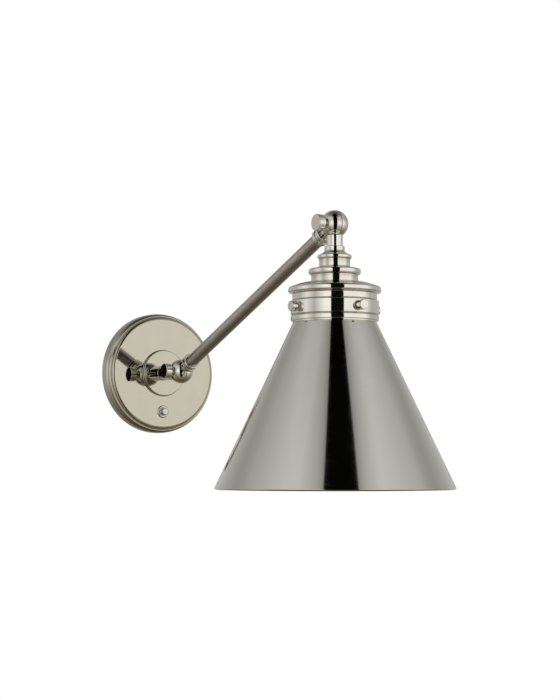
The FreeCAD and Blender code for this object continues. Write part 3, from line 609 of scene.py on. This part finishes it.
def plated_steel(name, colour, spangle, rough):
    """Zinc or dyed plating: cloudy, with a faint crystal pattern and scuffs."""
    material, t, place = new_material(name)
    cells = t.node("ShaderNodeTexVoronoi", {"Vector": place, "Scale": 420.0}).outputs["Distance"]
    cloud = t.noise(place, 90.0, 4.0)
    scuff = t.noise(place, 1500.0, 3.0, 0.7)
    base = t.mix(t.span(cells, 0.1, 0.6), colour, spangle)
    base = t.mix(t.span(cloud, 0.45, 0.75, 0.0, 0.5), base, tuple(c * 0.72 for c in colour))
    roughness = t.span(scuff, 0.35, 0.7, rough - 0.07, rough + 0.12)
    t.surface(base_color=base, metallic=1.0, roughness=roughness, normal=t.bump(scuff, 0.00002, 0.3))
    return material


def moulded(name, colour, pale, rough, grain_scale=800.0, depth=0.00004):
    """Plastic or unglazed porcelain: a fine matt grain with slight colour changes."""
    material, t, place = new_material(name)
    grain = t.noise(place, grain_scale, 4.0, 0.65)
    cloud = t.noise(place, 60.0)
    base = t.mix(t.span(cloud, 0.3, 0.7), colour, pale)
    base = t.mix(t.span(grain, 0.55, 0.75, 0.0, 0.25), base, pale)
    roughness = t.span(grain, 0.3, 0.7, rough - 0.08, rough + 0.08)
    t.surface(base_color=base, roughness=roughness, normal=t.bump(grain, depth, 0.5))
    return material


def cord_jacket(name, colour):
    """Braided lamp cord: two sets of crossing threads."""
    material, t, place = new_material(name)
    waves = [
        t.node("ShaderNodeTexWave", {"Vector": place, "Scale": 260.0, "Distortion": lean},
               wave_type="BANDS", bands_direction="DIAGONAL").outputs["Fac"]
        for lean in (0.4, 1.1)
    ]
    weave = t.math("MAXIMUM", *waves)
    base = t.mix(weave, tuple(c * 0.6 for c in colour), colour)
    t.surface(base_color=base, roughness=0.8, sheen_weight=0.25, normal=t.bump(weave, 0.0002, 0.6))
    return material


def frosted_glass(name):
    """Inside-frosted bulb glass, slightly uneven in its coating."""
    material, t, place = new_material(name)
    coat = t.noise(place, 40.0, 3.0)
    fine = t.noise(place, 1200.0, 2.0)
    base = t.mix(coat, (0.90, 0.90, 0.88), (0.97, 0.97, 0.95))
    roughness = t.span(coat, 0.3, 0.7, 0.42, 0.55)
    t.surface(base_color=base, roughness=roughness, transmission_weight=0.55, ior=1.5,
              coat_weight=0.6, coat_roughness=0.08, normal=t.bump(fine, 0.00002, 0.2))
    return material


def make_materials():
    """One material for each of the record's slots."""
    # Each colour tuple: colour, a lighter outside-corner colour (partly rubbed wear, partly painted highlight),
    # and a painted-shade colour for grooves.
    nickel = (NICKEL, NICKEL_WORN_AND_LIT, NICKEL_CREASE_SHADE)
    brass = ((0.78, 0.62, 0.32), (0.86, 0.72, 0.44), (0.36, 0.24, 0.10))
    washed = ((0.72, 0.66, 0.50), (0.80, 0.75, 0.60), (0.40, 0.31, 0.16))
    aluminium = ((0.78, 0.78, 0.78), (0.88, 0.88, 0.88), (0.45, 0.44, 0.42))
    return {
        "polished_nickel": turned_metal("polished_nickel", *nickel, POLISHED_ROUGH),
        "shade_nickel": turned_metal("shade_nickel", *nickel, 0.075, 2.4 * MM, 0.000006),
        "button_nickel": turned_metal("button_nickel", (0.62, 0.60, 0.54), *nickel[1:], 0.12),
        "plate_nickel": turned_metal("plate_nickel", NICKEL_PLATE, *nickel[1:], 0.045, 1.6 * MM,
                                     along=from_axis((0, 0, 0), OUT)),
        "satin_nickel": satin_metal("satin_nickel", (0.56, 0.53, 0.49), 0.30, ALONG_ARM),
        "zinc_steel": plated_steel("zinc_steel", (0.60, 0.62, 0.64), (0.72, 0.73, 0.74), 0.35),
        "green_steel": plated_steel("green_steel", (0.06, 0.34, 0.13), (0.10, 0.45, 0.18), 0.38),
        "washer_nickel": turned_metal("washer_nickel", (0.58, 0.56, 0.50), *nickel[1:], 0.22),
        "cord_jacket": cord_jacket("cord_jacket", (0.78, 0.75, 0.68)),
        "black_phenolic": moulded("black_phenolic", (0.022, 0.021, 0.020), (0.040, 0.038, 0.036), 0.35),
        "socket_brass": turned_metal("socket_brass", *washed, 0.22),
        "porcelain": moulded("porcelain", (0.82, 0.80, 0.74), (0.90, 0.88, 0.83), 0.55, 500.0),
        "thread_brass": turned_metal("thread_brass", *brass, 0.20),
        "bulb_base_metal": turned_metal("bulb_base_metal", *aluminium, 0.28),
        "bulb_glass": frosted_glass("bulb_glass"),
    }


# The light ----------------------------------------------------------------------------------

def kept_nickel(name, base, direction):
    """Polished nickel for a node that keeps its CAD mesh; its lines run round an axis."""
    return turned_metal(name, NICKEL, NICKEL_WORN_AND_LIT, NICKEL_CREASE_SHADE, POLISHED_ROUGH,
                        along=down_axis(base, direction))


def build_light():
    materials = make_materials()
    switch_at = sum(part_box("switch_nut"), Vector()) / 2
    wall = Axis(Vector((0, 0, 0)), OUT)
    switch = Axis(Vector((switch_at.x, 0, switch_at.z)), OUT)
    arm = Axis(WALL_PIVOT, ALONG_ARM)
    head = Axis(HEAD_PIVOT, DOWN)
    turned = {
        wall: ["stem", "wall_nipple", "wall_cord"],
        switch: ["switch_body", "switch_bushing", "switch_nut", "switch_button"],
        Axis(WALL_PIVOT, LEFT): ["wall_knob", "wall_washer", "wall_pivot_screw"],
        Axis(HEAD_PIVOT, LEFT): ["head_knob", "head_washer", "head_pivot_screw"],
        arm: ["lower_arm_collar", "arm_tube", "arm_cord", "upper_arm_collar"],
        head: ["neck_ring", "upper_cap_tier", "lower_cap_tier", "fitter_collar", "shade", "head_nipple",
               "head_cord", "socket_cap", "socket_shell", "socket_insulator", "screw_shell",
               "centre_contact", "bulb_base", "bulb_glass"],
    }
    pieces = {}
    for axis, nodes in turned.items():
        for node in nodes:
            pieces[node] = turn_piece(node, axis)
            pieces[node].data.materials.append(materials[SLOTS[node]])
    paint_inside(pieces["shade"], head, enamel("white_enamel", (0.90, 0.89, 0.86)))
    kept_materials = {
        "wall_half_ball": kept_nickel("wall_ball_nickel", WALL_PIVOT, OUT),
        "head_half_ball": kept_nickel("head_ball_nickel", HEAD_PIVOT, DOWN),
        "lower_arm_half_ball": kept_nickel("lower_arm_ball_nickel", WALL_PIVOT, ALONG_ARM),
        "upper_arm_half_ball": kept_nickel("upper_arm_ball_nickel", HEAD_PIVOT, ALONG_ARM),
        "collar_screws": kept_nickel("collar_screw_nickel", HEAD_PIVOT, DOWN),
    }
    for node, item in NODES.items():
        if node in pieces:
            continue
        item.data.materials.clear()
        item.data.materials.append(kept_materials.get(node) or materials[SLOTS[node]])


def paint_inside(piece, axis, material):
    """A second material on the faces that look towards the axis."""
    piece.data.materials.append(material)
    for face in piece.data.polygons:
        away = face.center - axis.base
        away -= axis.direction * away.dot(axis.direction)
        face.material_index = int(face.normal.dot(away) < 0)


add_camera()
studio()
build_light()
